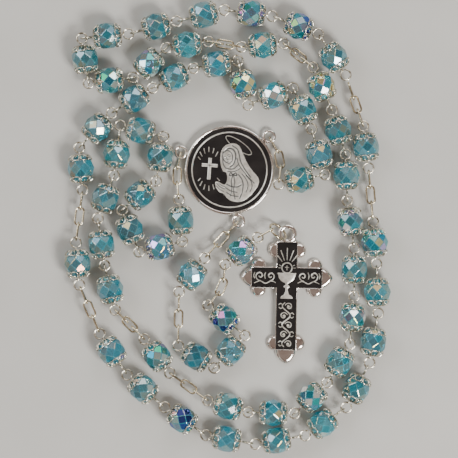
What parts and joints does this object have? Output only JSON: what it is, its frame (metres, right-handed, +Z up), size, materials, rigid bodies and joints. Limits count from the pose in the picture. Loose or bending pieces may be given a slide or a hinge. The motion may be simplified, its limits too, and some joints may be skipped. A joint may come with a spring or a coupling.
{
  "type": "rosary",
  "caption": "Five-decade rosary of faceted aqua glass beads in openwork silver caps, with a black enamel medal and crucifix.",
  "frame": {"origin": "middle of the medal's flat back face, on the surface that the rosary lies on", "axes": "+Z up from that surface, +Y towards the top of the medal, +X to its right"},
  "size_m": [0.0958, 0.1331, 0.008],
  "materials": {
    "aqua_glass": "fire-polished facets with an iridescent coating",
    "silver_wire": "bright warm silver plate",
    "silver_plate": "bright silver plate",
    "silver_artwork": "satin silver",
    "black_enamel": "gloss enamel"
  },
  "bodies": {
    "medal": {"medal_casting": "silver_plate", "medal_enamel": "black_enamel", "medal_relief": "silver_artwork"},
    "loop_chain_1": {"loop_chain_1": "silver_wire"},
    "decade_1_first": {"decade_1_first_beads": "aqua_glass", "decade_1_first_mounts": "silver_wire"},
    "decade_1_last": {"decade_1_last_beads": "aqua_glass", "decade_1_last_mounts": "silver_wire"},
    "loop_chain_2": {"loop_chain_2": "silver_wire"},
    "our_father_1": {"our_father_1_mount": "silver_wire"},
    "loop_chain_3": {"loop_chain_3": "silver_wire"},
    "decade_2_first": {"decade_2_first_beads": "aqua_glass", "decade_2_first_mounts": "silver_wire"},
    "decade_2_last": {"decade_2_last_beads": "aqua_glass", "decade_2_last_mounts": "silver_wire"},
    "loop_chain_4": {"loop_chain_4": "silver_wire"},
    "our_father_2": {"our_father_2_mount": "silver_wire"},
    "loop_chain_5": {"loop_chain_5": "silver_wire"},
    "decade_3_first": {"decade_3_first_beads": "aqua_glass", "decade_3_first_mounts": "silver_wire"},
    "decade_3_last": {"decade_3_last_beads": "aqua_glass", "decade_3_last_mounts": "silver_wire"},
    "loop_chain_10": {"loop_chain_10": "silver_wire"},
    "decade_5_last": {"decade_5_last_beads": "aqua_glass", "decade_5_last_mounts": "silver_wire"},
    "decade_5_first": {"decade_5_first_beads": "aqua_glass", "decade_5_first_mounts": "silver_wire"},
    "loop_chain_9": {"loop_chain_9": "silver_wire"},
    "our_father_4": {"our_father_4_mount": "silver_wire"},
    "loop_chain_8": {"loop_chain_8": "silver_wire"},
    "decade_4_last": {"decade_4_last_beads": "aqua_glass", "decade_4_last_mounts": "silver_wire"},
    "decade_4_first": {"decade_4_first_beads": "aqua_glass", "decade_4_first_mounts": "silver_wire"},
    "loop_chain_7": {"loop_chain_7": "silver_wire"},
    "our_father_3": {"our_father_3_mount": "silver_wire"},
    "loop_chain_6": {"loop_chain_6": "silver_wire"},
    "drop_chain_1": {"drop_chain_1": "silver_wire"},
    "drop_our_father_1": {"drop_our_father_1_mount": "silver_wire"},
    "drop_chain_2": {"drop_chain_2": "silver_wire"},
    "hail_mary_1": {"hail_mary_1_mount": "silver_wire"},
    "hail_mary_2": {"hail_mary_2_mount": "silver_wire"},
    "hail_mary_3": {"hail_mary_3_mount": "silver_wire"},
    "drop_chain_3": {"drop_chain_3": "silver_wire"},
    "drop_our_father_2": {"drop_our_father_2_mount": "silver_wire"},
    "crucifix_link": {"crucifix_link": "silver_wire"},
    "jump_ring": {"jump_ring": "silver_wire"},
    "crucifix": {"crucifix_casting": "silver_plate", "crucifix_enamel": "black_enamel", "crucifix_chalice": "silver_artwork", "crucifix_scrolls": "silver_artwork"},
    "our_father_1_bead": {"our_father_1_bead": "aqua_glass"},
    "our_father_2_bead": {"our_father_2_bead": "aqua_glass"},
    "our_father_3_bead": {"our_father_3_bead": "aqua_glass"},
    "our_father_4_bead": {"our_father_4_bead": "aqua_glass"},
    "drop_our_father_1_bead": {"drop_our_father_1_bead": "aqua_glass"},
    "hail_mary_1_bead": {"hail_mary_1_bead": "aqua_glass"},
    "hail_mary_2_bead": {"hail_mary_2_bead": "aqua_glass"},
    "hail_mary_3_bead": {"hail_mary_3_bead": "aqua_glass"},
    "drop_our_father_2_bead": {"drop_our_father_2_bead": "aqua_glass"}
  },
  "joints": [
    {"name": "loop_chain_1_hinge", "type": "hinge", "parent": "medal", "child": "loop_chain_1", "pos_m": [-0.0146, 0.00358, 0.0015], "axis": [-0.9813, 0.1927, 0], "range_deg": [-40, 40]},
    {"name": "decade_1_first_hinge", "type": "hinge", "parent": "loop_chain_1", "child": "decade_1_first", "pos_m": [-0.015, -0.00715, 0.004], "axis": [0.9934, 0.1147, 0], "range_deg": [-40, 40]},
    {"name": "decade_1_last_hinge", "type": "hinge", "parent": "decade_1_first", "child": "decade_1_last", "pos_m": [-0.02075, 0.01008, 0.004], "axis": [0.2515, 0.9679, 0], "range_deg": [-40, 40]},
    {"name": "loop_chain_2_hinge", "type": "hinge", "parent": "decade_1_last", "child": "loop_chain_2", "pos_m": [-0.03244, -0.04206, 0.004], "axis": [0.7079, 0.7063, 0], "range_deg": [-40, 40]},
    {"name": "our_father_1_hinge", "type": "hinge", "parent": "loop_chain_2", "child": "our_father_1", "pos_m": [-0.026, -0.04852, 0.004], "axis": [-0.7079, -0.7063, 0], "range_deg": [-40, 40]},
    {"name": "loop_chain_3_hinge", "type": "hinge", "parent": "our_father_1", "child": "loop_chain_3", "pos_m": [-0.01629, -0.06038, 0.004], "axis": [0.5862, 0.8102, 0], "range_deg": [-40, 40]},
    {"name": "decade_2_first_hinge", "type": "hinge", "parent": "loop_chain_3", "child": "decade_2_first", "pos_m": [-0.00762, -0.06665, 0.004], "axis": [-0.5862, -0.8102, 0], "range_deg": [-40, 40]},
    {"name": "decade_2_last_hinge", "type": "hinge", "parent": "decade_2_first", "child": "decade_2_last", "pos_m": [0.0365, -0.0355, 0.004], "axis": [-1, 0, 0], "range_deg": [-40, 40]},
    {"name": "loop_chain_4_hinge", "type": "hinge", "parent": "decade_2_last", "child": "loop_chain_4", "pos_m": [0.02333, 0.03094, 0.004], "axis": [0.6289, 0.7775, 0], "range_deg": [-40, 40]},
    {"name": "our_father_2_hinge", "type": "hinge", "parent": "loop_chain_4", "child": "our_father_2", "pos_m": [0.01703, 0.03605, 0.004], "axis": [-0.6289, -0.7775, 0], "range_deg": [-40, 40]},
    {"name": "loop_chain_5_hinge", "type": "hinge", "parent": "our_father_2", "child": "loop_chain_5", "pos_m": [0.00202, 0.03623, 0.004], "axis": [0.1562, 0.9877, 0], "range_deg": [-40, 40]},
    {"name": "decade_3_first_hinge", "type": "hinge", "parent": "loop_chain_5", "child": "decade_3_first", "pos_m": [-0.00476, 0.0373, 0.004], "axis": [-0.1562, -0.9877, 0], "range_deg": [-40, 40]},
    {"name": "decade_3_last_hinge", "type": "hinge", "parent": "decade_3_first", "child": "decade_3_last", "pos_m": [-0.02815, 0.04018, 0.004], "axis": [0.2538, -0.9673, 0], "range_deg": [-40, 40]},
    {"name": "loop_chain_10_hinge", "type": "hinge", "parent": "medal", "child": "loop_chain_10", "pos_m": [0.01245, 0.00833, 0.0015], "axis": [-0.8729, -0.4879, 0], "range_deg": [-40, 40]},
    {"name": "decade_5_last_hinge", "type": "hinge", "parent": "loop_chain_10", "child": "decade_5_last", "pos_m": [0.01458, -0.00271, 0.004], "axis": [0.9928, -0.1198, 0], "range_deg": [-40, 40]},
    {"name": "decade_5_first_hinge", "type": "hinge", "parent": "decade_5_last", "child": "decade_5_first", "pos_m": [0.00274, 0.03054, 0.004], "axis": [0.9744, 0.2249, 0], "range_deg": [-40, 40]},
    {"name": "loop_chain_9_hinge", "type": "hinge", "parent": "decade_5_first", "child": "loop_chain_9", "pos_m": [-0.04324, -0.00735, 0.004], "axis": [0.9921, -0.1254, 0], "range_deg": [-40, 40]},
    {"name": "our_father_4_hinge", "type": "hinge", "parent": "loop_chain_9", "child": "our_father_4", "pos_m": [-0.04481, -0.01981, 0.004], "axis": [-0.9921, 0.1254, 0], "range_deg": [-40, 40]},
    {"name": "loop_chain_8_hinge", "type": "hinge", "parent": "our_father_4", "child": "loop_chain_8", "pos_m": [-0.04342, -0.03504, 0.004], "axis": [0.9224, 0.3862, 0], "range_deg": [-40, 40]},
    {"name": "decade_4_last_hinge", "type": "hinge", "parent": "loop_chain_8", "child": "decade_4_last", "pos_m": [-0.03858, -0.04662, 0.004], "axis": [-0.9224, -0.3862, 0], "range_deg": [-40, 40]},
    {"name": "decade_4_first_hinge", "type": "hinge", "parent": "decade_4_last", "child": "decade_4_first", "pos_m": [0.02062, -0.07805, 0.004], "axis": [-0.1699, 0.9855, 0], "range_deg": [-40, 40]},
    {"name": "loop_chain_7_hinge", "type": "hinge", "parent": "decade_4_first", "child": "loop_chain_7", "pos_m": [0.04189, -0.01364, 0.004], "axis": [0.9965, 0.0835, 0], "range_deg": [-40, 40]},
    {"name": "our_father_3_hinge", "type": "hinge", "parent": "loop_chain_7", "child": "our_father_3", "pos_m": [0.04083, -0.001, 0.004], "axis": [-0.9965, -0.0835, 0], "range_deg": [-40, 40]},
    {"name": "loop_chain_6_hinge", "type": "hinge", "parent": "our_father_3", "child": "loop_chain_6", "pos_m": [0.03867, 0.01422, 0.004], "axis": [0.9455, 0.3255, 0], "range_deg": [-40, 40]},
    {"name": "drop_chain_1_hinge", "type": "hinge", "parent": "medal", "child": "drop_chain_1", "pos_m": [0.00153, -0.01619, 0.0015], "axis": [-0.7377, 0.6751, 0], "range_deg": [-40, 40]},
    {"name": "drop_our_father_1_hinge", "type": "hinge", "parent": "drop_chain_1", "child": "drop_our_father_1", "pos_m": [-0.00628, -0.02472, 0.004], "axis": [0.7377, -0.6751, 0], "range_deg": [-40, 40]},
    {"name": "drop_chain_2_hinge", "type": "hinge", "parent": "drop_our_father_1", "child": "drop_chain_2", "pos_m": [-0.01482, -0.0372, 0.004], "axis": [-0.9999, 0.0154, 0], "range_deg": [-40, 40]},
    {"name": "hail_mary_1_hinge", "type": "hinge", "parent": "drop_chain_2", "child": "hail_mary_1", "pos_m": [-0.01502, -0.04997, 0.004], "axis": [0.9999, -0.0154, 0], "range_deg": [-40, 40]},
    {"name": "hail_mary_2_hinge", "type": "hinge", "parent": "hail_mary_1", "child": "hail_mary_2", "pos_m": [-0.00347, -0.05691, 0.004], "axis": [0.726, -0.6877, 0], "range_deg": [-40, 40]},
    {"name": "hail_mary_3_hinge", "type": "hinge", "parent": "hail_mary_2", "child": "hail_mary_3", "pos_m": [0.00334, -0.04755, 0.004], "axis": [-0.6317, -0.7752, 0], "range_deg": [-40, 40]},
    {"name": "drop_chain_3_hinge", "type": "hinge", "parent": "hail_mary_3", "child": "drop_chain_3", "pos_m": [-0.00534, -0.03854, 0.004], "axis": [0.7705, -0.6374, 0], "range_deg": [-40, 40]},
    {"name": "drop_our_father_2_hinge", "type": "hinge", "parent": "drop_chain_3", "child": "drop_our_father_2", "pos_m": [-0.00141, -0.0292, 0.004], "axis": [-0.9944, 0.1057, 0], "range_deg": [-40, 40]},
    {"name": "crucifix_link_hinge", "type": "hinge", "parent": "drop_our_father_2", "child": "crucifix_link", "pos_m": [0.0096, -0.01905, 0.004], "axis": [0.5, -0.866, 0], "range_deg": [-40, 40]},
    {"name": "jump_ring_hinge", "type": "hinge", "parent": "crucifix_link", "child": "jump_ring", "pos_m": [0.01217, -0.01757, 0.00503], "axis": [-0.3441, 0.7483, -0.5672], "range_deg": [-8, 8]},
    {"name": "crucifix_hinge", "type": "hinge", "parent": "jump_ring", "child": "crucifix", "pos_m": [0.01627, -0.01859, 0.0012], "axis": [0.9998, -0.0175, 0], "range_deg": [-8, 70]},
    {"name": "our_father_1_bead_spin", "type": "hinge", "parent": "our_father_1", "child": "our_father_1_bead", "pos_m": [-0.02122, -0.05454, 0.004], "axis": [0.6, -0.8, 0], "continuous": true},
    {"name": "our_father_2_bead_spin", "type": "hinge", "parent": "our_father_2", "child": "our_father_2_bead", "pos_m": [0.00968, 0.03649, 0.004], "axis": [-0.9968, -0.0797, 0], "continuous": true},
    {"name": "our_father_3_bead_spin", "type": "hinge", "parent": "our_father_3", "child": "our_father_3_bead", "pos_m": [0.03993, 0.00665, 0.004], "axis": [0.124, -0.9923, 0], "continuous": true},
    {"name": "our_father_4_bead_spin", "type": "hinge", "parent": "our_father_4", "child": "our_father_4_bead", "pos_m": [-0.0445, -0.02748, 0.004], "axis": [-0.0804, 0.9968, 0], "continuous": true},
    {"name": "drop_our_father_1_bead_spin", "type": "hinge", "parent": "drop_our_father_1", "child": "drop_our_father_1_bead", "pos_m": [-0.01105, -0.03076, 0.004], "axis": [-0.6051, -0.7962, 0], "continuous": true},
    {"name": "hail_mary_1_bead_spin", "type": "hinge", "parent": "hail_mary_1", "child": "hail_mary_1_bead", "pos_m": [-0.00977, -0.05474, 0.004], "axis": [0.8503, -0.5264, 0], "continuous": true},
    {"name": "hail_mary_2_bead_spin", "type": "hinge", "parent": "hail_mary_2", "child": "hail_mary_2_bead", "pos_m": [0.00024, -0.053, 0.004], "axis": [0.6877, 0.726, 0], "continuous": true},
    {"name": "hail_mary_3_bead_spin", "type": "hinge", "parent": "hail_mary_3", "child": "hail_mary_3_bead", "pos_m": [-0.00149, -0.04362, 0.004], "axis": [-0.7752, 0.6317, 0], "continuous": true},
    {"name": "drop_our_father_2_bead_spin", "type": "hinge", "parent": "drop_our_father_2", "child": "drop_our_father_2_bead", "pos_m": [0.00352, -0.02375, 0.004], "axis": [0.7703, 0.6377, 0], "continuous": true}
  ]
}
